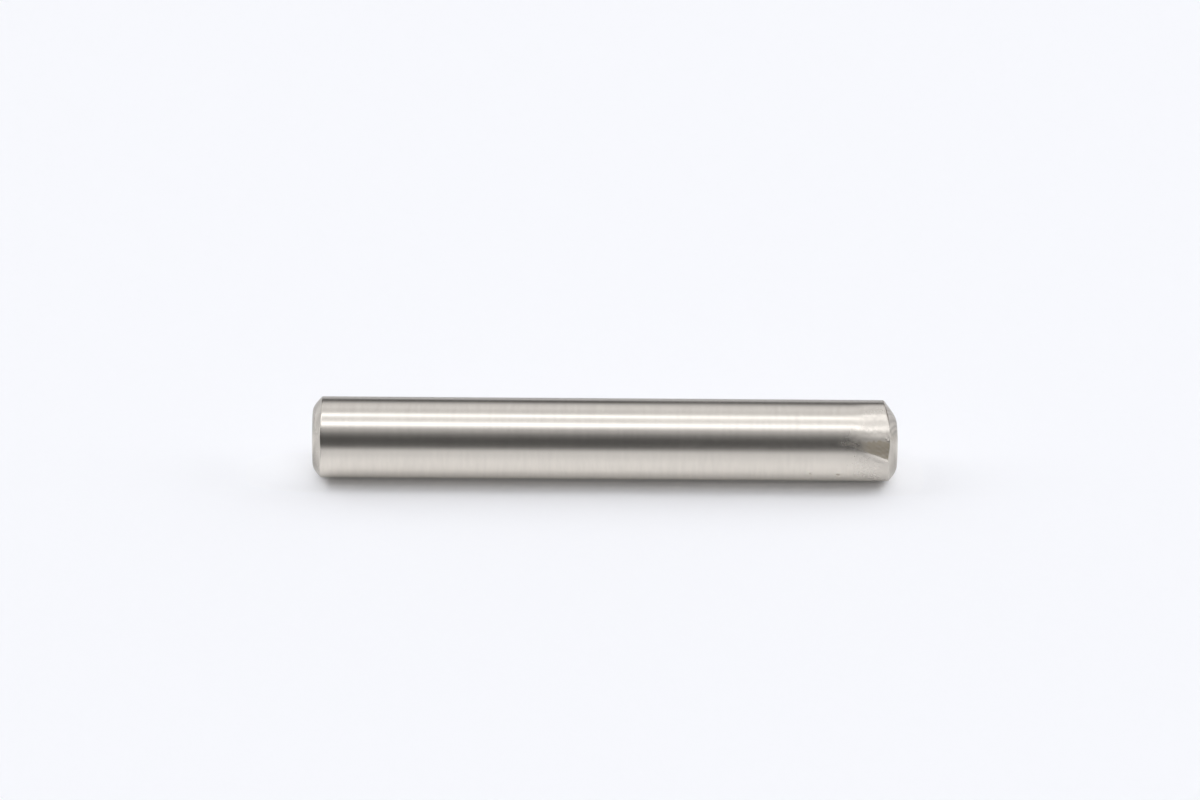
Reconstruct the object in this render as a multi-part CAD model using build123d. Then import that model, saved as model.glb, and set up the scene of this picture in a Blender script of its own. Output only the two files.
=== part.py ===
from build123d import *

import math
import os

# Sizes of the turned and ground pin, in millimetres
pin_diameter = 7.9375
pin_length = 57.15
bevel_length = 0.88
bevel_drop = 0.97
shoulder_round = 0.08
foot_round = 0.13
struck_round = 0.32

# Press mark on the +X side of the upper end, of even depth after a gentle run-out
press_run = 3.9
press_ramp = 2.3
press_depth = 0.22
press_crown_growth = 0.77

# Lip of metal pushed up along the mark's +Y border
lip_run = 2.4
lip_height = 0.06
lip_root_radius = 0.3
lip_tip_radius = 0.08
lip_tip_sink = 0.11

# Upper bevel struck off centre, deepest on this bearing from +X
struck_shift = 0.44
struck_bearing_deg = -66.0

# How far a cut reaches past the metal
overrun = 2.5

# Values that follow from the sizes above
pin_radius = pin_diameter / 2
end_radius = pin_radius - bevel_drop
shoulder_height = pin_length - bevel_length
press_start_height = shoulder_height - press_run
press_crown_radius = pin_radius + press_crown_growth


def ground_blank():
    """The pin before it was damaged: a straight shank with a bevel at each end and eased corners."""
    foot_corner = (end_radius, 0)
    lower_shoulder = (pin_radius, bevel_length)
    upper_shoulder = (pin_radius, shoulder_height)
    struck_corner = (end_radius, pin_length)
    rounds = {
        foot_corner: foot_round,
        lower_shoulder: shoulder_round,
        upper_shoulder: shoulder_round,
        struck_corner: struck_round,
    }
    with BuildPart() as blank:
        with BuildSketch(Plane.XZ) as section:
            with BuildLine():
                Polyline((0, 0), *rounds, (0, pin_length), close=True)
            make_face()
            for corner, radius in rounds.items():
                fillet(section.vertices().sort_by_distance(corner)[0], radius=radius)
        revolve(axis=Axis.Z)
    return blank.part


def press_cutter():
    """What the press mark takes off: all that lies outside a wider crown that steps in gently."""
    reach = press_run + bevel_length + overrun
    pressed_radius = press_crown_radius - press_depth
    outline = [
        Line((0, 0), (press_crown_radius, 0)),
        Spline((press_crown_radius, 0), (pressed_radius, press_ramp), tangents=((0, 1), (0, 1))),
        Polyline((pressed_radius, press_ramp), (pressed_radius, reach), (0, reach), (0, 0)),
    ]
    crown = revolve(Plane.XZ * make_face(outline), axis=Axis.Z)
    block = Box(
        press_crown_radius + overrun,
        pin_diameter,
        reach,
        align=(Align.MIN, Align.CENTER, Align.MIN),
    )
    return Pos(-press_crown_growth, 0, press_start_height) * (block - crown)


def depth_at(height):
    """Depth of the mark on its middle line, easing in along the run-out."""
    share = min((height - press_start_height) / press_ramp, 1)
    return press_depth * share**2 * (3 - 2 * share)


def border_point(height, radius):
    """Point above the mark's +Y border at a height on the pin and a distance from its axis."""
    pressed_radius = press_crown_radius - depth_at(height)
    cosine = (pressed_radius**2 - pin_radius**2 - press_crown_growth**2) / (
        2 * pin_radius * press_crown_growth
    )
    bearing = math.acos(cosine)
    return Vector(radius * math.cos(bearing), radius * math.sin(bearing), height)


def bevelled_room(spare):
    """Room under the upper bevel and its eased corner, carried out past the shank by a spare radius."""
    room_radius = pin_radius + spare
    flare_height = shoulder_height - spare * bevel_length / bevel_drop
    struck_corner = (end_radius, pin_length)
    outline = Polyline(
        (0, -overrun),
        (room_radius, -overrun),
        (room_radius, flare_height),
        struck_corner,
        (0, pin_length),
        close=True,
    )
    section = make_face(outline)
    section = fillet(section.vertices().sort_by_distance(struck_corner)[0], radius=struck_round)
    return revolve(Plane.XZ * section, axis=Axis.Z)


def struck_room():
    """Room under the bevel as it was struck: the same bevel, moved sideways from the pin's axis."""
    moved = Rot(0, 0, struck_bearing_deg) * Pos(-struck_shift, 0, 0)
    return moved * bevelled_room(struck_shift + lip_root_radius)


def raised_lip():
    """Tapered bead, sunk at its tip and proud of the shank at its root, ending in the bevel."""
    tip = border_point(shoulder_height - lip_run, pin_radius - lip_tip_sink)
    root = border_point(shoulder_height, pin_radius + lip_height - lip_root_radius)
    along = root - tip
    spread = (lip_root_radius - lip_tip_radius) / along.length
    reach = along.length + lip_root_radius
    bead = Cone(
        lip_tip_radius,
        lip_tip_radius + spread * reach,
        reach,
        align=(Align.CENTER, Align.CENTER, Align.MIN),
    )
    return Plane(origin=tip, z_dir=along) * bead & bevelled_room(lip_root_radius)


def dowel_pin():
    """The finished pin: ground blank, bevel struck off centre, and press mark with its lip."""
    pin = ground_blank() & struck_room()
    pin = pin - press_cutter()
    return pin + (raised_lip() & struck_room())


os.makedirs("parts", exist_ok=True)
export_step(dowel_pin(), "parts/dowel_pin.step")
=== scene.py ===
"""Looks of the dowel pin: the ground shank with its dented end, bare steel and a pale studio."""
import logging
import math
from dataclasses import dataclass
from enum import Enum

import bpy
import numpy as np
from mathutils import Matrix, Vector


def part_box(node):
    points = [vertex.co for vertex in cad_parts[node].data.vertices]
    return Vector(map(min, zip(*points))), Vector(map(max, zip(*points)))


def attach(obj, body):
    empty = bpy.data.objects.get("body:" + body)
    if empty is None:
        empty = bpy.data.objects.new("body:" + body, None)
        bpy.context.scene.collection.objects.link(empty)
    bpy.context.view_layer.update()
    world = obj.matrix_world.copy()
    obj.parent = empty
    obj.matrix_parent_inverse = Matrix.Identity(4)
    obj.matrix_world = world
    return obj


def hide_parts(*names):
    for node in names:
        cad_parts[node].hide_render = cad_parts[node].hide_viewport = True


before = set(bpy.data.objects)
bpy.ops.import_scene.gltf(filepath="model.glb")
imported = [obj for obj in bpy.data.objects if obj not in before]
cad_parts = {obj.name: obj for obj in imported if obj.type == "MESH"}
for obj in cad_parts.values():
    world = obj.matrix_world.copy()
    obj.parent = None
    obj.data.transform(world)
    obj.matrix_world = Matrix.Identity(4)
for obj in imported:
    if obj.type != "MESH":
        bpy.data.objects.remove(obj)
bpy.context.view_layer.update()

LOG = logging.getLogger("dowel_pin")
MM = 0.001
NODE = "dowel_pin"
BODY = "root"


class Mask(Enum):
    """Values painted on the pin's vertices for its finishes to read."""

    PRESS = "press_mark"
    SCUFF = "scuff"
    STAIN = "stain"
    SMEAR = "smear_and_shade"
    EDGE = "edge_wear"
    NICK = "painted_edge_shade"


class Finish(Enum):
    """Which finish a face of the pin carries, as its place in the list of materials."""

    GROUND = 0
    TURNED = 1


def soft_max(first: np.ndarray, second: np.ndarray, ease: float | np.ndarray) -> np.ndarray:
    """Joins two gaps into the gap of what both leave over, with an eased corner.

    Args:
        first: Signed distance outside the first surface.
        second: Signed distance outside the second surface.
        ease: Length over which the corner between the two is rounded.

    Returns:
        The larger of the two, a little more near the corner.
    """
    return np.maximum(first, second) + ease * np.log1p(np.exp(-np.abs(first - second) / ease))


def ramp(value: np.ndarray, start: float, end: float) -> np.ndarray:
    """Eases from 0 at start to 1 at end.

    Args:
        value: Where to read the ramp.
        start: Value at which it leaves 0.
        end: Value at which it reaches 1.

    Returns:
        Numbers from 0 to 1.
    """
    share = np.clip((value - start) / (end - start), 0.0, 1.0)
    return share * share * (3.0 - 2.0 * share)


@dataclass(frozen=True)
class Ripples:
    """Fixed sum of waves that makes fine streaks across one coordinate.

    Attributes:
        seed: Seed of the draws.
        count: How many waves are added.
        low: Lowest number of waves in one unit.
        high: Highest number of waves in one unit.
        lean: How much the streaks lean as they run.
    """

    seed: int
    count: int
    low: float
    high: float
    lean: float = 0.04

    def at(self, across: np.ndarray, along: np.ndarray) -> np.ndarray:
        """Height of the streaks.

        Args:
            across: Coordinate that the streaks cross.
            along: Coordinate along which they slowly change.

        Returns:
            Heights of about -1 to 1.
        """
        draws = np.random.default_rng(self.seed)
        total = np.zeros_like(across)
        for _ in range(self.count):
            pitch = math.tau * draws.uniform(self.low, self.high)
            drift = draws.uniform(-0.5, 0.5)
            phase = draws.uniform(0.0, math.tau)
            total += np.sin(pitch * (across + self.lean * drift * along) + drift * along + phase)
        return total / math.sqrt(self.count)


@dataclass(frozen=True)
class PressMark:
    """Shallow mark pressed into the head's +X side, with a lip that grows along its +Y border.

    Attributes:
        radius: Radius of the shank.
        shoulder: Height of the bevel's edge, where the mark ends.
        run: Length of the mark along the shank.
        run_out: Length over which the mark sinks to its depth.
        depth: Depth past the run-out.
        fade_up_deg: How far round the mark fades out on its -Y side.
        fade_down_deg: How far round it fades out on its +Y side.
        lip_deg: Bearing of the lip's crest at the shoulder.
        lip_lean_deg: How much nearer to +X the crest is where the lip starts.
        lip_run: Length of the raised lip.
        lip_height: Height of the lip at the shoulder.
        lip_reach: How far the lip spreads over the shank.
        streak_height: Height of the streaks in the mark.
    """

    radius: float
    shoulder: float
    run: float = 3.9 * MM
    run_out: float = 2.6 * MM
    depth: float = 0.22 * MM
    fade_up_deg: float = 42.0
    fade_down_deg: float = 54.0
    lip_deg: float = 54.5
    lip_lean_deg: float = 13.5
    lip_run: float = 2.6 * MM
    lip_height: float = 0.12 * MM
    lip_reach: float = 0.26 * MM
    streak_height: float = 0.004 * MM

    def depth_at(self, height: np.ndarray) -> np.ndarray:
        """Depth of the mark on its middle line."""
        begin = self.shoulder - self.run
        return self.depth * ramp(height, begin, begin + self.run_out)

    def crest(self, height: np.ndarray) -> np.ndarray:
        """Bearing of the lip's crest in radians, which leans towards +X away from the end."""
        away = np.clip((self.shoulder - height) / self.lip_run, -0.5, 1.5)
        return np.radians(self.lip_deg - self.lip_lean_deg * away)

    def sink(self, bearing: np.ndarray, height: np.ndarray) -> np.ndarray:
        """How far the mark sinks the shank, streaks included.

        Args:
            bearing: Bearings from +X in radians.
            height: Heights on the pin.

        Returns:
            Depths, zero outside the mark.
        """
        fade = np.radians(np.where(bearing > 0.0, self.fade_down_deg, self.fade_up_deg))
        turn = np.clip(np.abs(bearing) / fade, 0.0, 1.0)
        drop = self.depth_at(height) * np.cos(turn * math.pi / 2.0) ** 2
        streaks = Ripples(seed=11, count=9, low=1.2, high=7.0).at(bearing, height / self.run)
        return drop + self.streak_height * streaks * drop / self.depth

    def lip(self, bearing: np.ndarray, height: np.ndarray) -> np.ndarray:
        """Height of the metal pushed up towards the crest and over it.

        Args:
            bearing: Bearings from +X in radians.
            height: Heights on the pin.

        Returns:
            Heights to add to the pressed shank.
        """
        crest = self.crest(height)
        share = np.clip((height - self.shoulder + self.lip_run) / self.lip_run, 0.0, 1.0)
        inside = np.clip(bearing / crest, 0.0, 1.0) ** 4
        outside = np.clip(bearing - crest, 0.0, None) * self.radius / self.lip_reach
        return self.lip_height * share**1.5 * inside * np.exp(-(outside**2))


@dataclass(frozen=True)
class Bevel:
    """Slanted ring at one end of the pin, cut about an axis of its own.

    Attributes:
        length: Length along the axis.
        drop: How much it takes off the radius.
        shift: How far its axis is from the pin's.
        bearing_deg: Bearing from +X on which it takes off most.
    """

    length: float
    drop: float
    shift: float = 0.0
    bearing_deg: float = 0.0

    def gap(self, x: np.ndarray, y: np.ndarray, rise: np.ndarray, radius: float) -> np.ndarray:
        """Distance of points outside the bevel.

        Args:
            x: Distances along +X.
            y: Distances along +Y.
            rise: Distances past the bevel's edge, towards the end.
            radius: Radius of the shank.

        Returns:
            Signed distances, below zero inside.
        """
        turn = math.radians(self.bearing_deg)
        reach = np.hypot(x + self.shift * math.cos(turn), y + self.shift * math.sin(turn))
        return ((reach - radius) * self.length + rise * self.drop) / math.hypot(self.length, self.drop)


@dataclass(frozen=True)
class Nick:
    """Small dimple or burr on the shank.

    Attributes:
        bearing_deg: Bearing from +X.
        height: Height on the pin.
        width: Radius of the nick.
        depth: Depth of the nick, below zero for a burr.
    """

    bearing_deg: float
    height: float
    width: float
    depth: float

    def spot(self, bearing: np.ndarray, height: np.ndarray, radius: float) -> np.ndarray:
        """How much of a point lies in the nick.

        Args:
            bearing: Bearings from +X in radians.
            height: Heights on the pin.
            radius: Radius of the shank.

        Returns:
            Shares from 0 away from the nick to 1 in its middle.
        """
        turn = np.angle(np.exp(1j * (bearing - math.radians(self.bearing_deg))))
        away = np.hypot(turn * radius, height - self.height) / self.width
        return np.exp(-(away**2))


@dataclass(frozen=True)
class RingCounts:
    """How many rings of faces each stretch of the pin gets.

    Attributes:
        end_face: On each end face.
        foot_bevel: On the clean end's bevel and the shank beside it.
        shank: On the plain shank.
        dimple: Across a dimple.
        mark: Along the press mark.
        head_bevel: On the struck end's bevel and the shank beside it.
    """

    end_face: int = 14
    foot_bevel: int = 44
    shank: int = 44
    dimple: int = 13
    mark: int = 62
    head_bevel: int = 86


@dataclass
class GroundPin:
    """The whole pin as one fine mesh: shank, bevelled ends, press mark and struck corner.

    Attributes:
        radius: Radius of the shank.
        length: Length from end face to end face.
        bevel_length: Length of each bevel along the axis.
        bevel_drop: How much each bevel takes off the radius.
        shoulder_ease: Ease of the edges between shank and bevels.
        foot_ease: Ease of the clean end's corner.
        head_ease: Ease of the struck end's corner.
        segments: Faces round the axis.
        ring_counts: Rings of faces along the pin.
        core_inset: How far inside the surface the rays towards each bevel start.
        mark_lead: Length before the press mark that already has its close rings.
        dimple_span: Length on each side of a dimple that has close rings.
        crowding: How much closer together the faces are on the press mark's side.
        seam: Half the width over which the ground finish gives way to the turned one.
        wear_width: Width of the polish on the edges.
        edge_shade_width: Width of the painted dark line at the struck bevel's edge.
        name: Name of the object.
    """

    radius: float
    length: float
    bevel_length: float = 0.88 * MM
    bevel_drop: float = 0.97 * MM
    shoulder_ease: float = 0.028 * MM
    foot_ease: float = 0.16 * MM
    head_ease: float = 0.22 * MM
    segments: int = 320
    ring_counts: RingCounts = RingCounts()
    core_inset: float = 1.65 * MM
    mark_lead: float = 0.6 * MM
    dimple_span: float = 0.3 * MM
    crowding: float = 0.35
    seam: float = 0.026 * MM
    wear_width: float = 0.05 * MM
    edge_shade_width: float = 0.08 * MM
    name: str = "ground_pin"

    def __post_init__(self) -> None:
        """Places the marks that the pin carries."""
        self.shoulder = self.length - self.bevel_length
        self.mark = PressMark(self.radius, self.shoulder)
        self.head_bevel = Bevel(self.bevel_length, self.bevel_drop)
        self.struck_bevel = Bevel(0.88 * MM, 1.16 * MM, shift=0.66 * MM, bearing_deg=-66.0)
        self.foot_bevel = Bevel(self.bevel_length, self.bevel_drop, shift=0.08 * MM, bearing_deg=-63.0)
        self.dimples = (
            Nick(85.0, 51.3 * MM, 0.14 * MM, 0.05 * MM),
            Nick(83.0, 48.6 * MM, 0.09 * MM, 0.02 * MM),
        )
        self.burrs = (
            Nick(27.0, self.shoulder - 0.12 * MM, 0.09 * MM, -0.05 * MM),
            Nick(24.0, self.shoulder - 0.3 * MM, 0.07 * MM, -0.035 * MM),
            Nick(22.5, self.shoulder - 0.08 * MM, 0.07 * MM, 0.015 * MM),
            Nick(29.0, self.shoulder - 0.45 * MM, 0.06 * MM, -0.03 * MM),
        )

    def gaps(self, x: np.ndarray, y: np.ndarray, z: np.ndarray) -> dict[str, np.ndarray]:
        """Distances of points outside each surface of the pin and outside the whole pin.

        Args:
            x: Distances along +X.
            y: Distances along +Y.
            z: Heights.

        Returns:
            Signed distances by the surface's name, with the whole pin's as "pin".
        """
        reach, bearing = np.hypot(x, y), np.arctan2(y, x)
        nicks = self.dimples + self.burrs
        sunk = sum(nick.depth * nick.spot(bearing, z, self.radius) for nick in nicks)
        side = reach - self.radius + self.mark.sink(bearing, z) - self.mark.lip(bearing, z) + sunk
        plain = self.head_bevel.gap(x, y, z - self.shoulder, self.radius)
        struck = self.struck_bevel.gap(x, y, z - self.shoulder, self.radius)
        bevel = soft_max(plain, struck, self.shoulder_ease)
        head = soft_max(side, bevel, self.shoulder_ease)
        head = soft_max(head, z - self.length, self.head_ease)
        foot_bevel = self.foot_bevel.gap(x, y, self.bevel_length - z, self.radius)
        foot = soft_max(foot_bevel, -z, self.foot_ease)
        return {
            "side": side,
            "bevel": bevel,
            "face": z - self.length,
            "foot": np.maximum(foot_bevel, -z),
            "pin": soft_max(head, foot, self.shoulder_ease),
        }

    def rays(self) -> np.ndarray:
        """Lines from inside the pin, in one half section, that find its outline from foot to head.

        Returns:
            Rows of start radius, start height, radial step and axial step.
        """
        counts = self.ring_counts
        hub = self.radius - self.core_inset
        low, high = self.core_inset, self.length - self.core_inset
        mark_start = self.shoulder - self.mark.run - self.mark_lead
        hubs = np.linspace(hub / counts.end_face, hub, counts.end_face)
        shank = [np.linspace(low, mark_start, counts.shank)[1:-1]]
        for dimple in self.dimples:
            close = np.linspace(-self.dimple_span, self.dimple_span, counts.dimple)
            shank.append(dimple.height + close)
        marked = np.linspace(mark_start, high, counts.mark)[:-1]
        rows = [(r, low, 0.0, -1.0) for r in hubs[:-1]]
        rows += [(hub, low, math.cos(t), -math.sin(t)) for t in self.turns(counts.foot_bevel)[::-1]]
        rows += [(0.0, z, 1.0, 0.0) for z in np.unique(np.concatenate(shank))]
        rows += [(0.0, z, 1.0, 0.0) for z in marked]
        rows += [(hub, high, math.cos(t), math.sin(t)) for t in self.turns(counts.head_bevel)]
        rows += [(r, high, 0.0, 1.0) for r in hubs[-2::-1]]
        return np.array(rows)

    def turns(self, count: int) -> np.ndarray:
        """Angles from square to the axis to along it, closer together at the bevel's two edges.

        Args:
            count: How many angles to make.

        Returns:
            Angles in radians from 0 to a quarter turn.
        """
        edge = math.atan2(self.core_inset - self.bevel_length, self.core_inset)
        corner = math.atan2(self.core_inset, self.core_inset - self.bevel_drop)
        spread, edge_gain, corner_gain = 0.12, 2.5, 2.0
        fine = np.linspace(0.0, math.pi / 2, 400)
        density = 1.0 + edge_gain * np.exp(-(((fine - edge) / spread) ** 2))
        density += corner_gain * np.exp(-(((fine - corner) / spread) ** 2))
        share = np.concatenate([[0.0], np.cumsum((density[1:] + density[:-1]) / 2.0)])
        return np.interp(np.linspace(0.0, share[-1], count), share, fine)

    def surface(self) -> tuple[np.ndarray, np.ndarray, np.ndarray]:
        """Finds the points of the pin's surface on its grid of rings.

        Returns:
            The x, y and z of each point, by ring and by place round the axis.
        """
        step = np.linspace(0.0, math.tau, self.segments, endpoint=False)
        bearing = step - self.crowding * np.sin(step)
        start_r, start_z, out, up = (column[:, None] for column in self.rays().T)
        inner = np.zeros((len(start_r), self.segments))
        spare, halvings = 0.5 * MM, 42
        outer = np.full_like(inner, self.radius + spare)
        for _ in range(halvings):
            middle = (inner + outer) / 2.0
            reach, z = start_r + middle * out, start_z + middle * up
            inside = self.gaps(reach * np.cos(bearing), reach * np.sin(bearing), z)["pin"] < 0.0
            inner, outer = np.where(inside, middle, inner), np.where(inside, outer, middle)
        reach, z = start_r + inner * out, start_z + inner * up
        return reach * np.cos(bearing), reach * np.sin(bearing), z

    def masks(self, x: np.ndarray, y: np.ndarray, z: np.ndarray) -> dict[Mask, np.ndarray]:
        """Values from 0 to 1 that say where the pin is pressed, scuffed, stained, smeared and worn, and
        where shade is painted on it.

        Args:
            x: Distances along +X.
            y: Distances along +Y.
            z: Heights.

        Returns:
            One value for each point, by mask.
        """
        gaps, bearing = self.gaps(x, y, z), np.arctan2(y, x)
        share = (z - self.shoulder + self.mark.run) / self.mark.run
        past_crest = bearing - self.mark.crest(z)
        ends = np.maximum(gaps["bevel"], gaps["face"])
        turned = ramp(ends - gaps["side"], -self.seam, self.seam)
        on_bevel = turned * ramp(gaps["bevel"] - gaps["face"], -0.15 * MM, 0.05 * MM)
        surfaces = np.stack([gaps["side"], gaps["bevel"], gaps["face"], gaps["foot"]])
        ordered = np.sort(surfaces, axis=0)
        ragged = 0.025 * Ripples(21, 6, 0.3, 3.0).at(3.0 * share, bearing)
        return {
            Mask.PRESS: ramp(self.mark.sink(bearing, z), 0.02 * MM, 0.2 * MM),
            Mask.SCUFF: self.scuff(bearing + ragged, share + 2.0 * ragged, z),
            Mask.STAIN: self.stain(bearing, z, share, ragged) * (1.0 - turned),
            Mask.SMEAR: on_bevel * self.streaks(bearing, z) + (1.0 - turned) * self.shade_below_lip(past_crest, share),
            Mask.EDGE: np.exp(-(((ordered[-1] - ordered[-2]) / self.wear_width) ** 2)),
            Mask.NICK: self.painted_edge_line(bearing, z, gaps),
        }

    def scuff(self, bearing: np.ndarray, share: np.ndarray, z: np.ndarray) -> np.ndarray:
        """Roughened strip beside the mark's dirt, and the duller upper half of the shank.

        Args:
            bearing: Bearings from +X in radians.
            share: Shares of the mark's run.
            z: Heights.

        Returns:
            Values from 0 to 1.
        """
        strip = ramp(bearing, 0.12, 0.32) * (1.0 - ramp(bearing, 0.48, 0.56))
        strip = strip * ramp(share, -0.3, 0.3) * (z < self.length)
        return np.maximum(strip, 0.18 * ramp(z, 0.35 * self.length, 0.8 * self.length))

    def stain(
        self, bearing: np.ndarray, z: np.ndarray, share: np.ndarray, ragged: np.ndarray
    ) -> np.ndarray:
        """Dirt in the mark's lower side, up to the lip's crest, and in the two dimples.

        Args:
            bearing: Bearings from +X in radians.
            z: Heights.
            share: Shares of the mark's run.
            ragged: Small offsets that fray the dirt's edge.

        Returns:
            Values from 0 to 1.
        """
        past_crest = bearing - self.mark.crest(z)
        mottle = Ripples(5, 9, 0.5, 3.0).at(4.0 * past_crest, share)
        mottle = mottle * Ripples(6, 9, 0.5, 3.0).at(2.0 * share, bearing)
        low_side = ramp(bearing + ragged, 0.46, 0.52) * (1.0 - ramp(past_crest, -0.01, 0.02))
        thick = np.maximum(0.3 * ramp(share, -0.4, -0.1), ramp(share + 0.5 * ragged, 0.14, 0.52))
        dirt = low_side * thick * np.clip(0.85 + 0.25 * mottle, 0.5, 1.0)
        return np.maximum(dirt, sum(dimple.spot(bearing, z, self.radius) for dimple in self.dimples))

    def beside(self, bearing: np.ndarray, z: np.ndarray) -> np.ndarray:
        """Share of the blow on the struck bevel, beside the press mark."""
        return ramp(bearing, -0.8, -0.5) * (1.0 - ramp(bearing, 0.2, 0.42)) * (z > self.length / 2.0)

    def streaks(self, bearing: np.ndarray, z: np.ndarray) -> np.ndarray:
        """Grey slanted streaks on the struck bevel.

        Args:
            bearing: Bearings from +X in radians.
            z: Heights.

        Returns:
            Values from 0 to 1.
        """
        slanted = bearing + 0.5 * (z - self.shoulder) / self.bevel_length
        waves = Ripples(8, 10, 1.5, 7.0).at(slanted, z / self.length)
        return self.beside(bearing, z) * np.clip(0.5 + 0.8 * waves, 0.1, 1.0)

    def painted_edge_line(self, bearing: np.ndarray, z: np.ndarray, gaps: dict[str, np.ndarray]) -> np.ndarray:
        """Painted shade: a dark line just past the struck bevel's edge, standing for its dark reflection.

        Args:
            bearing: Bearings from +X in radians.
            z: Heights.
            gaps: Distances outside the pin's surfaces.

        Returns:
            Values from 0 to 1.
        """
        past_edge = (gaps["bevel"] - gaps["side"]) / self.edge_shade_width
        line = np.exp(-((past_edge - 0.6) ** 2)) * (z > self.length / 2.0)
        return line * ramp(bearing, -0.75, -0.35) * (1.0 - ramp(bearing, -0.25, 0.15))

    @staticmethod
    def shade_below_lip(past_crest: np.ndarray, share: np.ndarray) -> np.ndarray:
        """Darker grey band below the lip, strongest in one smudge close to it, which is painted shade.

        Args:
            past_crest: Angles past the lip's crest in radians.
            share: Shares of the mark's run.

        Returns:
            Values from 0 to 1.
        """
        darker_band = 0.42 * ramp(share, -0.3, 0.6) + 0.3 * ramp(share, 0.65, 0.95)
        darker_band = darker_band * ramp(past_crest, 0.03, 0.12) * (1.0 - ramp(past_crest, 0.7, 1.0))
        # Painted shade: the smudge stands for the shaded table that the lip's lower flank mirrors.
        smudge = np.exp(-(((past_crest - 0.15) / 0.07) ** 2))
        smudge = smudge * ramp(share, 0.5, 0.66) * (1.0 - ramp(share, 0.86, 1.0))
        return np.maximum(darker_band, 0.9 * smudge)

    def build(self) -> bpy.types.Object:
        """Makes the mesh object with its masks.

        Returns:
            The new object, linked to the scene.
        """
        x, y, z = self.surface()
        rings, around = x.shape
        centres = np.array([[0.0, 0.0, 0.0], [0.0, 0.0, self.length]])
        points = np.concatenate([np.stack([x, y, z], axis=-1).reshape(-1, 3), centres])
        grid = np.arange(rings * around).reshape(rings, around)
        after = np.roll(grid, -1, axis=1)
        quads = np.stack([grid[:-1], after[:-1], after[1:], grid[1:]], axis=-1).reshape(-1, 4)
        foot, head = rings * around, rings * around + 1
        faces = quads.tolist()
        faces += [(int(a), foot, int(b)) for a, b in zip(after[0], grid[0])]
        faces += [(head, int(a), int(b)) for a, b in zip(grid[-1], after[-1])]
        mesh = bpy.data.meshes.new(self.name)
        mesh.from_pydata(points.tolist(), [], faces)
        mesh.shade_smooth()
        for mask, values in self.masks(*points.T).items():
            layer = mesh.attributes.new(mask.value, "FLOAT", "POINT")
            layer.data.foreach_set("value", values.astype(np.float32))
        self.sort_faces(mesh)
        pin = bpy.data.objects.new(self.name, mesh)
        bpy.context.scene.collection.objects.link(pin)
        return pin

    def sort_faces(self, mesh: bpy.types.Mesh) -> None:
        """Gives each face of the bevels and ends the turned finish and all others the ground one.

        Args:
            mesh: Mesh of the pin.
        """
        centres = np.empty(len(mesh.polygons) * 3)
        mesh.polygons.foreach_get("center", centres)
        gaps = self.gaps(*centres.reshape(-1, 3).T)
        ends = np.maximum(np.maximum(gaps["bevel"], gaps["face"]), gaps["foot"])
        turned = np.where(ends > gaps["side"], Finish.TURNED.value, Finish.GROUND.value)
        mesh.polygons.foreach_set("material_index", turned.astype(np.int32))

    def dress(self, pin: bpy.types.Object) -> None:
        """Puts the two steel finishes on the pin and joins it to the frame.

        Args:
            pin: The pin's object.
        """
        kit = EffectKit()
        for finish in (GROUND_STEEL, TURNED_STEEL):
            pin.data.materials.append(finish.material(kit))
        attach(pin, BODY)
        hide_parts(NODE)


class Bench:
    """Places nodes in one tree and joins their sockets."""

    def __init__(self, tree: bpy.types.NodeTree) -> None:
        """Takes the tree to work in."""
        self.tree = tree

    def node(self, kind: str, **settings: object) -> bpy.types.Node:
        """Adds a node.

        Args:
            kind: Blender's name of the node type.
            settings: Properties to set on the node.

        Returns:
            The new node.
        """
        node = self.tree.nodes.new(kind)
        for key, value in settings.items():
            setattr(node, key, value)
        return node

    def feed(self, socket: bpy.types.NodeSocket, source: object) -> None:
        """Links a socket to another one, or sets it to a plain value."""
        if isinstance(source, bpy.types.NodeSocket):
            self.tree.links.new(source, socket)
        else:
            socket.default_value = source

    def math(self, operation: str, *sources: object, clamp: bool = False) -> bpy.types.NodeSocket:
        """Adds a math node.

        Args:
            operation: Blender's name of the operation.
            sources: Sockets or numbers, in order.
            clamp: Whether the result is kept from 0 to 1.

        Returns:
            The node's result.
        """
        node = self.node("ShaderNodeMath", operation=operation, use_clamp=clamp)
        for socket, source in zip(node.inputs, sources):
            self.feed(socket, source)
        return node.outputs[0]

    def times(self, first: object, *others: object) -> object:
        """Multiplies sockets or numbers by one another, in order."""
        for other in others:
            first = self.math("MULTIPLY", first, other)
        return first

    def span(
        self, value: object, low: float, high: float, to: tuple[float, float]
    ) -> bpy.types.NodeSocket:
        """Maps a range of values smoothly to another.

        Args:
            value: Socket to read.
            low: Value that becomes the first of to.
            high: Value that becomes the second of to.
            to: The new range.

        Returns:
            The mapped value.
        """
        node = self.node("ShaderNodeMapRange", interpolation_type="SMOOTHSTEP")
        labels = ("Value", "From Min", "From Max", "To Min", "To Max")
        for key, source in zip(labels, (value, low, high, *to)):
            self.feed(node.inputs[key], source)
        return node.outputs["Result"]

    def blend(self, share: object, first: object, second: object) -> bpy.types.NodeSocket:
        """Mixes two colours.

        Args:
            share: Share of the second colour.
            first: Colour or socket at 0.
            second: Colour or socket at 1.

        Returns:
            The mixed colour.
        """
        node = self.node("ShaderNodeMix", data_type="RGBA")
        self.feed(node.inputs[0], share)
        self.feed(node.inputs[6], first)
        self.feed(node.inputs[7], second)
        return node.outputs[2]

    def attribute(self, mask: Mask) -> bpy.types.NodeSocket:
        """Reads one of the pin's masks."""
        return self.node("ShaderNodeAttribute", attribute_name=mask.value).outputs["Fac"]

    def noise(self, place: object, detail: float, rough: float) -> bpy.types.NodeSocket:
        """Adds a noise texture of scale 1.

        Args:
            place: Where the noise is read.
            detail: Octaves of finer noise.
            rough: Strength of the finer noise.

        Returns:
            The noise's value.
        """
        node = self.node("ShaderNodeTexNoise")
        for key, source in (("Vector", place), ("Scale", 1.0), ("Detail", detail), ("Roughness", rough)):
            self.feed(node.inputs[key], source)
        return node.outputs["Fac"]


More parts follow.
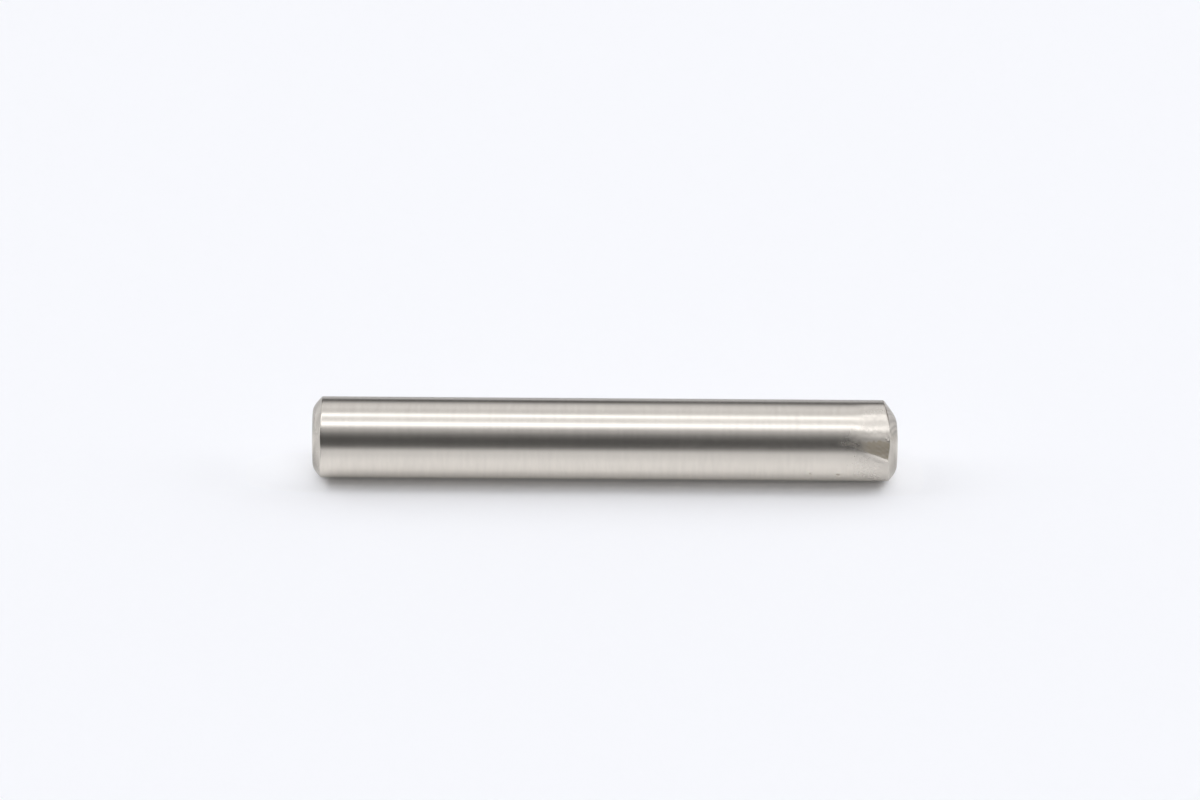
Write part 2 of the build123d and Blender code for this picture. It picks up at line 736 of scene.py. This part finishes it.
class EffectKit:
    """Shared surface effects, each a node group that is made once."""

    def __init__(self) -> None:
        """Makes the groups."""
        self.rings = self.ring_lines()
        self.specks = self.fine_specks()
        self.smudge = self.hand_smudge()

    @staticmethod
    def group(name: str, inputs: tuple[str, ...], outputs: tuple[str, ...]) -> tuple[Bench, dict, dict]:
        """Starts a node group.

        Args:
            name: The group's name.
            inputs: Names of the values it takes, after its Vector.
            outputs: Names of the values it gives.

        Returns:
            The bench, the input sockets by name and the output sockets by name.
        """
        tree = bpy.data.node_groups.new(name, "ShaderNodeTree")
        tree.interface.new_socket("Vector", in_out="INPUT", socket_type="NodeSocketVector")
        for label in inputs:
            tree.interface.new_socket(label, in_out="INPUT", socket_type="NodeSocketFloat")
        for label in outputs:
            tree.interface.new_socket(label, in_out="OUTPUT", socket_type="NodeSocketFloat")
        bench = Bench(tree)
        taken = bench.node("NodeGroupInput").outputs
        given = bench.node("NodeGroupOutput").inputs
        return bench, {s.name: s for s in taken if s.name}, {s.name: s for s in given if s.name}

    def ring_lines(self) -> bpy.types.NodeTree:
        """Lines that run round the axis on the shank, the bevels and the end faces.

        Returns:
            A group that gives the lines' height and a broader tone.
        """
        bench, taken, given = self.group("ring_lines", ("Pitch", "Drift"), ("Height", "Tone"))
        parts = bench.node("ShaderNodeSeparateXYZ")
        bench.feed(parts.inputs[0], taken["Vector"])
        x, y, z = parts.outputs
        square = bench.math("ADD", bench.times(x, x), bench.times(y, y))
        track = bench.math("SUBTRACT", z, bench.math("SQRT", square))
        fine = bench.node("ShaderNodeCombineXYZ")
        for socket, source, scale in zip(fine.inputs, (x, y, track), ("Drift", "Drift", "Pitch")):
            bench.feed(socket, bench.times(source, taken[scale]))
        broad = bench.node("ShaderNodeVectorMath", operation="MULTIPLY")
        bench.feed(broad.inputs[0], fine.outputs[0])
        bench.feed(broad.inputs[1], (1.6, 1.6, 0.5))
        bench.feed(given["Height"], bench.noise(fine.outputs[0], 3.0, 0.6))
        wide = bench.noise(broad.outputs[0], 4.0, 0.7)
        bench.feed(given["Tone"], bench.span(wide, 0.3, 0.7, (0.0, 1.0)))
        return bench.tree

    def fine_specks(self) -> bpy.types.NodeTree:
        """Sparse small round specks.

        Returns:
            A group that gives a mask of the specks.
        """
        bench, taken, given = self.group("fine_specks", ("Scale", "Size", "Share"), ("Mask",))
        cells = bench.node("ShaderNodeTexVoronoi", feature="F1")
        bench.feed(cells.inputs["Vector"], taken["Vector"])
        bench.feed(cells.inputs["Scale"], taken["Scale"])
        pick = bench.node("ShaderNodeSeparateColor")
        bench.feed(pick.inputs[0], cells.outputs["Color"])
        chosen = bench.math("LESS_THAN", pick.outputs[0], taken["Share"])
        size = bench.times(taken["Size"], bench.math("ADD", pick.outputs[1], 0.4))
        away = bench.math("DIVIDE", cells.outputs["Distance"], size)
        near = bench.math("SUBTRACT", 1.0, away, clamp=True)
        bench.feed(given["Mask"], bench.math("MULTIPLY", chosen, near, clamp=True))
        return bench.tree

    def hand_smudge(self) -> bpy.types.NodeTree:
        """Broad faint blotches left by handling.

        Returns:
            A group that gives the blotches' tone.
        """
        bench, taken, given = self.group("hand_smudge", ("Scale",), ("Tone",))
        place = bench.node("ShaderNodeVectorMath", operation="SCALE")
        bench.feed(place.inputs[0], taken["Vector"])
        bench.feed(place.inputs["Scale"], taken["Scale"])
        blotch = bench.noise(place.outputs[0], 4.0, 0.6)
        bench.feed(given["Tone"], bench.span(blotch, 0.35, 0.7, (0.0, 1.0)))
        return bench.tree


@dataclass(frozen=True)
class SteelFinish:
    """Bare steel with lines that run round the axis, specks, smudges, the press mark's dirt, and painted
    shade below the lip and along the struck bevel's edge.

    Attributes:
        name: Name of the material.
        roughness: Roughness of the clean metal.
        pitch: Ring lines in a metre.
        line_height: Height of the ring lines.
        tone_share: How much the ring lines' tone darkens the metal.
        tint: Colour of the clean metal.
        dirt: Colour of the dirt in the mark and of the specks.
        dark: Colour of dulled or smeared metal, and of the painted shade below the lip.
        edge_shade_colour: Colour of the painted shade, a dark line, at the struck bevel's edge.
        dull_share: How much the pressed metal darkens, evenly and in blotches.
        smear_and_shade_share: How much smeared metal, and the painted shade below the lip, darken.
        stain_share: How much of the metal the dirt covers.
        speck_share: How much of the metal a speck covers.
        edge_shade_share: How much of the metal the painted dark line at the edge covers.
        dirt_and_shade_depth: How much less metallic the dirt and the painted dark line at the struck edge
            are.
        smudge_rough: Roughness that smudges add.
        press_rough: Roughness that the press mark adds.
        scuff_rough: Roughness that scuffs add.
        dirt_and_shade_rough: Roughness that the dirt and the painted dark line at the struck edge add.
        smear_and_shade_rough: Roughness that smears and the painted shade below the lip add.
        edge_polish: Roughness that worn edges lose.
    """

    name: str
    roughness: float
    pitch: float
    line_height: float
    tone_share: float
    tint: tuple[float, float, float] = (0.636, 0.597, 0.537)
    dirt: tuple[float, float, float] = (0.36, 0.305, 0.215)
    dark: tuple[float, float, float] = (0.40, 0.375, 0.34)
    edge_shade_colour: tuple[float, float, float] = (0.13, 0.10, 0.075)
    dull_share: tuple[float, float] = (0.1, 0.3)
    smear_and_shade_share: float = 0.8
    stain_share: float = 0.85
    speck_share: float = 0.5
    edge_shade_share: float = 0.9
    dirt_and_shade_depth: float = 0.75
    smudge_rough: float = 0.035
    press_rough: float = 0.05
    scuff_rough: float = 0.24
    dirt_and_shade_rough: float = 0.2
    smear_and_shade_rough: float = 0.1
    edge_polish: float = 0.03

    def effect(
        self, bench: Bench, tree: bpy.types.NodeTree, place: object, **values: float
    ) -> bpy.types.Node:
        """Adds one of the shared effects to the material.

        Args:
            bench: The material's bench.
            tree: The effect's group.
            place: Socket that says where the effect is read.
            values: Values for the group's other inputs.

        Returns:
            The group's node.
        """
        node = bench.node("ShaderNodeGroup", node_tree=tree)
        bench.feed(node.inputs["Vector"], place)
        for key, value in values.items():
            bench.feed(node.inputs[key.capitalize()], value)
        return node

    def material(self, kit: EffectKit) -> bpy.types.Material:
        """Makes the material.

        Args:
            kit: The shared effects.

        Returns:
            The new material.
        """
        material = bpy.data.materials.new(self.name)
        material.use_nodes = True
        bench = Bench(material.node_tree)
        shader = material.node_tree.nodes["Principled BSDF"]
        place = bench.node("ShaderNodeTexCoord").outputs["Object"]
        rings = self.effect(bench, kit.rings, place, pitch=self.pitch, drift=200.0)
        specks = self.effect(bench, kit.specks, place, scale=1150.0, size=0.11, share=0.1)
        smudge = self.effect(bench, kit.smudge, place, scale=150.0).outputs["Tone"]
        mottle = self.effect(bench, kit.smudge, place, scale=2200.0).outputs["Tone"]
        # The mask read last here, nick, is the painted dark line along the struck bevel's edge.
        press, scuff, stain, smear_and_shade, edge, nick = (bench.attribute(mask) for mask in Mask)
        dark, dirt, edge_shade_colour = ((*paint, 1.0) for paint in (self.dark, self.dirt, self.edge_shade_colour))
        toned = bench.times(rings.outputs["Tone"], self.tone_share)
        even, blotched = self.dull_share
        dull = bench.times(press, bench.math("MULTIPLY_ADD", mottle, blotched, even))
        frayed = bench.times(smear_and_shade, bench.math("MULTIPLY_ADD", mottle, 0.12, 0.9))
        colour = bench.blend(toned, (*self.tint, 1.0), dark)
        colour = bench.blend(dull, colour, dark)
        # The smear mask also brings in the painted shade below the lip.
        colour = bench.blend(bench.math("MULTIPLY", frayed, self.smear_and_shade_share, clamp=True), colour, dark)
        colour = bench.blend(bench.times(stain, self.stain_share), colour, dirt)
        specked = bench.times(specks.outputs["Mask"], self.speck_share)
        colour = bench.blend(specked, colour, dirt)
        # Painted shade: a dark line along the struck bevel's edge.
        colour = bench.blend(bench.times(nick, self.edge_shade_share), colour, edge_shade_colour)
        bench.feed(shader.inputs["Base Color"], colour)
        dirt_and_shade = bench.math("MAXIMUM", stain, nick)
        metal = bench.math("MULTIPLY_ADD", dirt_and_shade, -self.dirt_and_shade_depth, 1.0, clamp=True)
        bench.feed(shader.inputs["Metallic"], metal)
        broken = bench.times(scuff, bench.math("MULTIPLY_ADD", mottle, 0.8, 0.6))
        rough = bench.math("MULTIPLY_ADD", smudge, self.smudge_rough, self.roughness)
        added = (
            (press, self.press_rough),
            (broken, self.scuff_rough),
            (dirt_and_shade, self.dirt_and_shade_rough),
            (smear_and_shade, self.smear_and_shade_rough),
            (edge, -self.edge_polish),
        )
        for mask, amount in added:
            rough = bench.math("MULTIPLY_ADD", mask, amount, rough, clamp=True)
        bench.feed(shader.inputs["Roughness"], rough)
        height = bench.math("SUBTRACT", rings.outputs["Height"], specks.outputs["Mask"])
        bump = bench.node("ShaderNodeBump")
        bump.inputs["Strength"].default_value = 1.0
        bump.inputs["Distance"].default_value = self.line_height
        bench.feed(bump.inputs["Height"], height)
        bench.feed(shader.inputs["Normal"], bump.outputs["Normal"])
        return material


GROUND_STEEL = SteelFinish(
    "ground_steel", roughness=0.18, pitch=4600.0, line_height=0.002 * MM, tone_share=0.14
)
TURNED_STEEL = SteelFinish(
    "turned_steel", roughness=0.26, pitch=11000.0, line_height=0.0028 * MM, tone_share=0.3
)


@dataclass(frozen=True)
class LightBand:
    """Brightness of the studio at one angle round the pin's axis.

    Attributes:
        angle_deg: Angle from the table's front edge, over the top, to its back edge at 180.
        level: Brightness there.
    """

    angle_deg: float
    level: float

    @classmethod
    def row(cls, *pairs: tuple[float, float]) -> tuple["LightBand", ...]:
        """Makes bands from pairs of angle and brightness."""
        return tuple(cls(*pair) for pair in pairs)


@dataclass(frozen=True)
class Studio:
    """Camera, pale table and soft light, as the photograph has them.

    Attributes:
        middle: Middle of the pin.
        radius: Radius of the pin, which touches the table along one side.
        bearing_deg: Bearing of the camera round the pin.
        table_rise_deg: Height of the camera over the table.
        distance: Distance from the camera to the pin.
        roll_deg: Lean of the pin in the picture, clockwise.
        picture: Width and height of the picture in pixels.
        pin_at: Where the pin's middle is in the picture.
        scale: Pixels in a metre at the pin.
        bands: Brightness of the light round the pin's axis.
        room: Brightness of the room round the pin's axis, past the ends of the lamps.
        room_lean: Brightness of the room past the foot and past the head, as shares.
        room_span: Share of the axis, to each side, over which the room goes from one to the other.
        lamp_end: Share of the axis at which the lamps start to give way to the room, and end.
        seen_level: Brightness of the plain space behind the table.
        table_size: Length of the table's sides.
        table_gap: Gap between the pin and the table.
        table_tint: Colour of the table.
        grain_tint: Colour of the table's faint grain.
        painted_table_glow: Painted light that the table gives off by itself, evenly.
        painted_thrown_glow: Painted pool of light on the table past the foot and past the head, standing
            in for the light that the pin's bright ends throw back.
        painted_glow_reach: How far past the foot and past the head that painted light reaches, in radii.
        painted_mirror_glow: Painted light on the table close beside the pin, seen only in the steel's
            reflections.
        painted_mirror_shade: Painted shade: how much darker the far table is where only the steel's
            reflections see it.
        painted_end_mirror_shade: Painted shade: how much darker the table is close past the ends and
            further out, where only the steel's reflections see it.
        light_tint: Colour of the light.
    """

    middle: Vector
    radius: float
    bearing_deg: float = 117.0
    table_rise_deg: float = 28.2
    distance: float = 1.0
    roll_deg: float = 0.4
    picture: tuple[int, int] = (1200, 800)
    pin_at: tuple[float, float] = (604.9, 438.7)
    scale: float = 10235.0
    room_lean: tuple[float, float] = (0.88, 1.15)
    room_span: float = 0.6
    lamp_end: tuple[float, float] = (0.36, 0.55)
    seen_level: float = 0.95
    table_size: float = 2.4
    table_gap: float = 0.005 * MM
    table_tint: tuple[float, float, float] = (0.905, 0.907, 0.913)
    grain_tint: tuple[float, float, float] = (0.6, 0.6, 0.6)
    painted_table_glow: float = 0.05
    painted_thrown_glow: float = 0.215
    painted_glow_reach: tuple[float, float] = (2.5, 1.1)
    painted_mirror_glow: float = 0.4
    painted_mirror_shade: float = 0.6
    painted_end_mirror_shade: tuple[float, float] = (0.28, 0.2)
    light_tint: tuple[float, float, float] = (0.985, 0.993, 1.03)
    bands: tuple[LightBand, ...] = LightBand.row(
        # The table's front edge and the dim space over it
        (-60.0, 0.9), (-4.0, 0.5), (0.0, 0.26), (5.0, 0.15), (20.0, 0.108), (28.0, 0.14),
        (33.0, 0.2), (39.0, 0.29), (45.0, 0.53), (51.0, 0.57), (56.0, 0.8),
        # Near lamp, and the gap behind it
        (61.0, 1.45), (65.0, 2.6), (69.0, 2.6), (73.0, 1.22), (77.0, 1.06), (85.0, 1.08),
        # Far lamp, and the pale wall behind it
        (89.0, 1.3), (93.0, 2.5), (96.0, 2.4), (99.5, 1.2),
        (104.0, 0.88), (111.0, 0.88), (124.0, 1.05), (138.5, 0.88), (146.5, 0.48),
        # Dark strip over the table's back edge
        (154.5, 0.12), (162.5, 0.11), (171.0, 0.62), (180.0, 0.85),
    )
    room: tuple[LightBand, ...] = LightBand.row(
        (-60.0, 0.66), (0.0, 0.06), (60.0, 0.06), (74.0, 0.15),
        # Bright ceiling, and the wall behind it
        (83.0, 3.3), (92.0, 3.0), (102.0, 1.2), (135.0, 1.0),
        (152.0, 0.6), (160.0, 0.66), (170.0, 1.3), (180.0, 1.5),
    )

    @property
    def table_deg(self) -> float:
        """Bearing towards which the table faces."""
        return self.bearing_deg - 90.0 + self.table_rise_deg

    @staticmethod
    def towards(bearing_deg: float) -> Vector:
        """Level direction of a bearing, where 0 is -Y and 90 is +X."""
        turn = math.radians(bearing_deg)
        return Vector((math.sin(turn), -math.cos(turn), 0.0))

    def camera(self) -> bpy.types.Object:
        """Sets the camera where the photograph was taken from.

        Returns:
            The camera's object.
        """
        back = self.towards(self.bearing_deg)
        lean = math.radians(self.roll_deg)
        along = Vector((0.0, 0.0, 1.0))
        level = back.cross(along)
        right = along * math.cos(lean) + level * math.sin(lean)
        up = back.cross(right)
        width, height = self.picture
        shift_x, shift_y = self.pin_at[0] - width / 2.0, self.pin_at[1] - height / 2.0
        aim = self.middle - right * (shift_x / self.scale) + up * (shift_y / self.scale)
        data = bpy.data.cameras.new("photo_camera")
        data.sensor_fit = "HORIZONTAL"
        data.sensor_width = 36.0
        data.lens = data.sensor_width * self.distance * self.scale / width
        data.dof.use_dof = False
        camera = bpy.data.objects.new("photo_camera", data)
        turn = Matrix((right, up, back)).transposed().to_4x4()
        camera.matrix_world = Matrix.Translation(aim + back * self.distance) @ turn
        bpy.context.scene.collection.objects.link(camera)
        bpy.context.scene.camera = camera
        return camera

    def table(self) -> bpy.types.Object:
        """Lays the pale table that the pin touches. It shows from its front only.

        Returns:
            The table's object.
        """
        facing = self.towards(self.table_deg)
        along = Vector((0.0, 0.0, 1.0))
        depth = along.cross(facing)
        foot = self.middle - facing * (self.radius + self.table_gap)
        half = self.table_size / 2.0
        sides = ((-half, -half), (half, -half), (half, half), (-half, half))
        corners = [foot + depth * across + along * up for across, up in sides]
        mesh = bpy.data.meshes.new("pale_table")
        mesh.from_pydata([tuple(c) for c in corners], [], [(0, 1, 2, 3)])
        table = bpy.data.objects.new("pale_table", mesh)
        bpy.context.scene.collection.objects.link(table)
        mesh.materials.append(self.paper())
        return table

    def paper(self) -> bpy.types.Material:
        """Makes the table's matt pale surface, clear from behind, with painted light and painted shade in
        its emission and colour.

        Returns:
            The new material.
        """
        material = bpy.data.materials.new("pale_paper")
        material.use_nodes = True
        bench = Bench(material.node_tree)
        shader = material.node_tree.nodes["Principled BSDF"]
        shader.inputs["Roughness"].default_value = 0.9
        shader.inputs["Specular IOR Level"].default_value = 0.0
        # The table's emission is painted light: the table is no lamp.
        shader.inputs["Emission Strength"].default_value = 1.0
        spot = bench.node("ShaderNodeTexCoord").outputs["Object"]
        parts = bench.node("ShaderNodeSeparateXYZ")
        bench.feed(parts.inputs[0], spot)
        depth = bench.node("ShaderNodeVectorMath", operation="DOT_PRODUCT")
        bench.feed(depth.inputs[0], spot)
        bench.feed(depth.inputs[1], tuple(self.towards(self.table_deg - 90.0) / self.radius))
        ahead = bench.math("ABSOLUTE", depth.outputs["Value"])
        past_foot = bench.math("DIVIDE", parts.outputs["Z"], -self.radius)
        past_head = bench.math("SUBTRACT", parts.outputs["Z"], 2.0 * self.middle.z)
        past_head = bench.math("DIVIDE", past_head, self.radius)
        beyond = bench.math("MAXIMUM", past_foot, past_head)
        mirrored = bench.node("ShaderNodeLightPath").outputs["Is Glossy Ray"]
        clear_of_pin = bench.span(ahead, 0.2, 1.0, (0.0, 1.0))
        near = bench.times(clear_of_pin, bench.span(ahead, 0.9, 3.6, (1.0, 0.0)), mirrored)
        # Painted light: the table is brighter beside the pin where only the steel's reflections see it.
        glow = bench.blend(near, self.lit(self.painted_table_glow), self.lit(self.painted_mirror_glow))
        # Painted light: a pool of light on the table past the foot and past the head.
        foot_reach, head_reach = self.painted_glow_reach
        by_foot = bench.span(past_foot, -0.1, foot_reach, (1.0, 0.0))
        by_head = bench.span(past_head, -0.2, head_reach, (1.0, 0.0))
        past_end = bench.span(beyond, -0.5, -0.2, (0.0, 1.0))
        beside = bench.span(ahead, 0.3, 1.4, (1.0, 0.0))
        painted_pool = bench.times(by_foot, by_head, past_end, beside, bench.math("SUBTRACT", 1.0, mirrored))
        glow = bench.blend(painted_pool, glow, self.lit(self.painted_thrown_glow))
        bench.feed(shader.inputs["Emission Color"], glow)
        place = bench.node("ShaderNodeVectorMath", operation="SCALE")
        bench.feed(place.inputs[0], spot)
        bench.feed(place.inputs["Scale"], 900.0)
        grain = bench.times(bench.noise(place.outputs[0], 3.0, 0.6), 0.03)
        colour = bench.blend(grain, (*self.table_tint, 1.0), (*self.grain_tint, 1.0))
        # Painted shade: the table darkens far ahead and past the ends where only the steel's reflections
        # see it.
        far = bench.span(ahead, 2.5, 20.0, (0.0, self.painted_mirror_shade))
        painted_end_shade = bench.span(beyond, 0.5, 5.0, self.painted_end_mirror_shade)
        painted_end_shade = bench.times(painted_end_shade, bench.span(beyond, 0.0, 0.5, (0.0, 1.0)))
        dim = bench.times(bench.math("MAXIMUM", far, painted_end_shade), mirrored)
        bench.feed(shader.inputs["Base Color"], bench.blend(dim, colour, (0.0, 0.0, 0.0, 1.0)))
        clear = bench.node("ShaderNodeBsdfTransparent")
        mix = bench.node("ShaderNodeMixShader")
        bench.feed(mix.inputs[0], bench.node("ShaderNodeNewGeometry").outputs["Backfacing"])
        bench.feed(mix.inputs[1], shader.outputs[0])
        bench.feed(mix.inputs[2], clear.outputs[0])
        bench.feed(material.node_tree.nodes["Material Output"].inputs["Surface"], mix.outputs[0])
        return material

    def lit(self, level: float) -> tuple[float, ...]:
        """Colour of the light at a brightness."""
        return (*(level * part for part in self.light_tint), 1.0)

    @staticmethod
    def ring_level(
        bench: Bench, share: bpy.types.NodeSocket, bands: tuple[LightBand, ...]
    ) -> bpy.types.NodeSocket:
        """Reads a list of brightnesses round the pin's axis.

        Args:
            bench: The world's bench.
            share: Share of the turn round the axis, with the table's front edge at 0.5.
            bands: The brightnesses.

        Returns:
            The brightness there.
        """
        peak = max(band.level for band in bands)
        colours = bench.node("ShaderNodeValToRGB")
        bench.feed(colours.inputs[0], share)
        steps = colours.color_ramp.elements
        while len(steps) < len(bands):
            steps.new(0.5)
        for step, band in zip(steps, bands):
            step.position = band.angle_deg / 360.0 + 0.5
            step.color = (*[band.level / peak] * 3, 1.0)
        return bench.times(colours.outputs[0], peak)

    def light(self) -> bpy.types.World:
        """Makes the soft light: long bands beside the pin, plain and pale where the camera sees it.

        Returns:
            The new world.
        """
        world = bpy.data.worlds.new("soft_studio")
        world.use_nodes = True
        world.node_tree.nodes.clear()
        bench = Bench(world.node_tree)
        turned = bench.node("ShaderNodeMapping", vector_type="POINT")
        bench.feed(turned.inputs["Vector"], bench.node("ShaderNodeTexCoord").outputs["Generated"])
        turned.inputs["Rotation"].default_value[2] = -math.radians(self.table_deg)
        parts = bench.node("ShaderNodeSeparateXYZ")
        bench.feed(parts.inputs[0], turned.outputs[0])
        front, under, along = parts.outputs
        angle = bench.math("ARCTAN2", bench.times(under, -1.0), front)
        share = bench.math("MULTIPLY_ADD", angle, 1.0 / math.tau, 0.5)
        lamps = self.ring_level(bench, share, self.bands)
        room = self.ring_level(bench, share, self.room)
        lean = bench.span(along, -self.room_span, self.room_span, self.room_lean)
        room = bench.times(room, lean)
        past_end = bench.span(bench.math("ABSOLUTE", along), *self.lamp_end, (0.0, 1.0))
        level = bench.math("MULTIPLY_ADD", past_end, bench.math("SUBTRACT", room, lamps), lamps)
        studio = bench.node("ShaderNodeBackground")
        bench.feed(studio.inputs["Strength"], level)
        plain = bench.node("ShaderNodeBackground")
        plain.inputs["Strength"].default_value = self.seen_level
        for shader in (studio, plain):
            shader.inputs["Color"].default_value = (*self.light_tint, 1.0)
        mix = bench.node("ShaderNodeMixShader")
        bench.feed(mix.inputs[0], bench.node("ShaderNodeLightPath").outputs["Is Camera Ray"])
        bench.feed(mix.inputs[1], studio.outputs[0])
        bench.feed(mix.inputs[2], plain.outputs[0])
        bench.feed(bench.node("ShaderNodeOutputWorld").inputs["Surface"], mix.outputs[0])
        bpy.context.scene.world = world
        return world

    def build(self) -> None:
        """Sets up the table, the light and the camera with plain colour handling."""
        LOG.info("stage: %s", self.table().name)
        LOG.info("light: %s", self.light().name)
        LOG.info("camera: %s", self.camera().name)
        bpy.context.scene.view_settings.view_transform = "Standard"
        bpy.context.scene.view_settings.look = "None"


def main() -> None:
    """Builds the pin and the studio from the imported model's sizes."""
    logging.basicConfig(level=logging.INFO, format="%(name)s: %(message)s")
    low, high = (Vector(corner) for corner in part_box(NODE))
    length = high.z - low.z
    pin = GroundPin(radius=(high.x - low.x) / 2.0, length=length)
    piece = pin.build()
    pin.dress(piece)
    LOG.info("piece: %s, %d faces, rides %s", piece.name, len(piece.data.polygons), BODY)
    Studio(middle=(low + high) / 2.0, radius=pin.radius).build()


if __name__ == "__main__":
    main()
